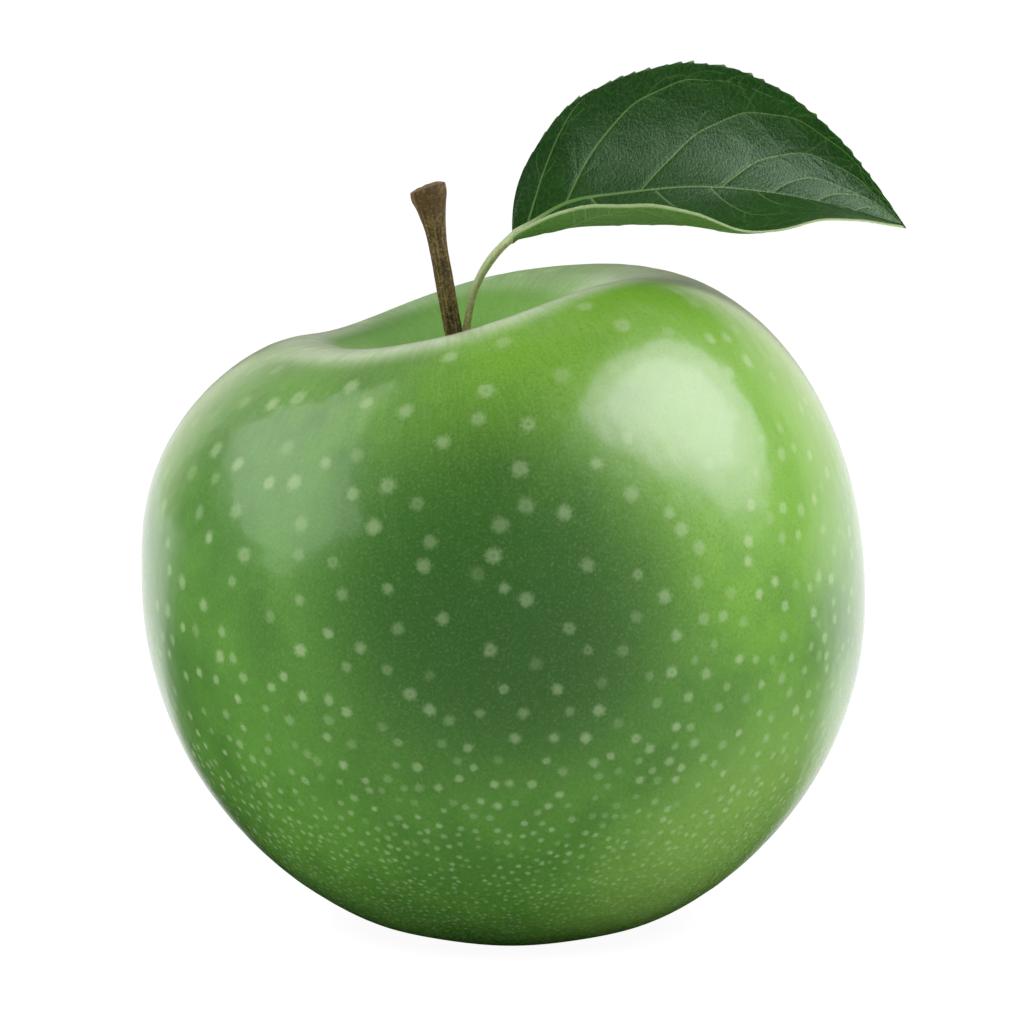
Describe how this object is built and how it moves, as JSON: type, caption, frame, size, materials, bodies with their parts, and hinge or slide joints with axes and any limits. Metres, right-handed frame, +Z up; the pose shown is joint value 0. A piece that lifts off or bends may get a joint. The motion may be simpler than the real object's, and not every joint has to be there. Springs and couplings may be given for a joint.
{
  "type": "green apple",
  "caption": "Whole fresh green apple with its woody stem in the stem cavity, a toothed leaf on a slender stalk, and a dried calyx in the basin under it; stands on its foot lobes.",
  "frame": {"origin": "bottom centre of the whole part's box, on the surface that the foot lobes stand on", "axes": "+Z up, from the blossom end towards the stem; +X from the stem towards the leaf's tip; -Y towards the leaf's lower margin"},
  "size_m": [0.0834, 0.0798, 0.0952],
  "materials": {
    "apple_skin": "waxy gloss, pale dots",
    "stem_wood": "dry fibrous bark",
    "leaf_green": "half-gloss upper side, matte underside",
    "dry_sepal": "dry and papery"
  },
  "bodies": {
    "root": {"fruit": "apple_skin", "stem": "stem_wood", "leaf": "leaf_green", "calyx": "dry_sepal"}
  },
  "joints": []
}
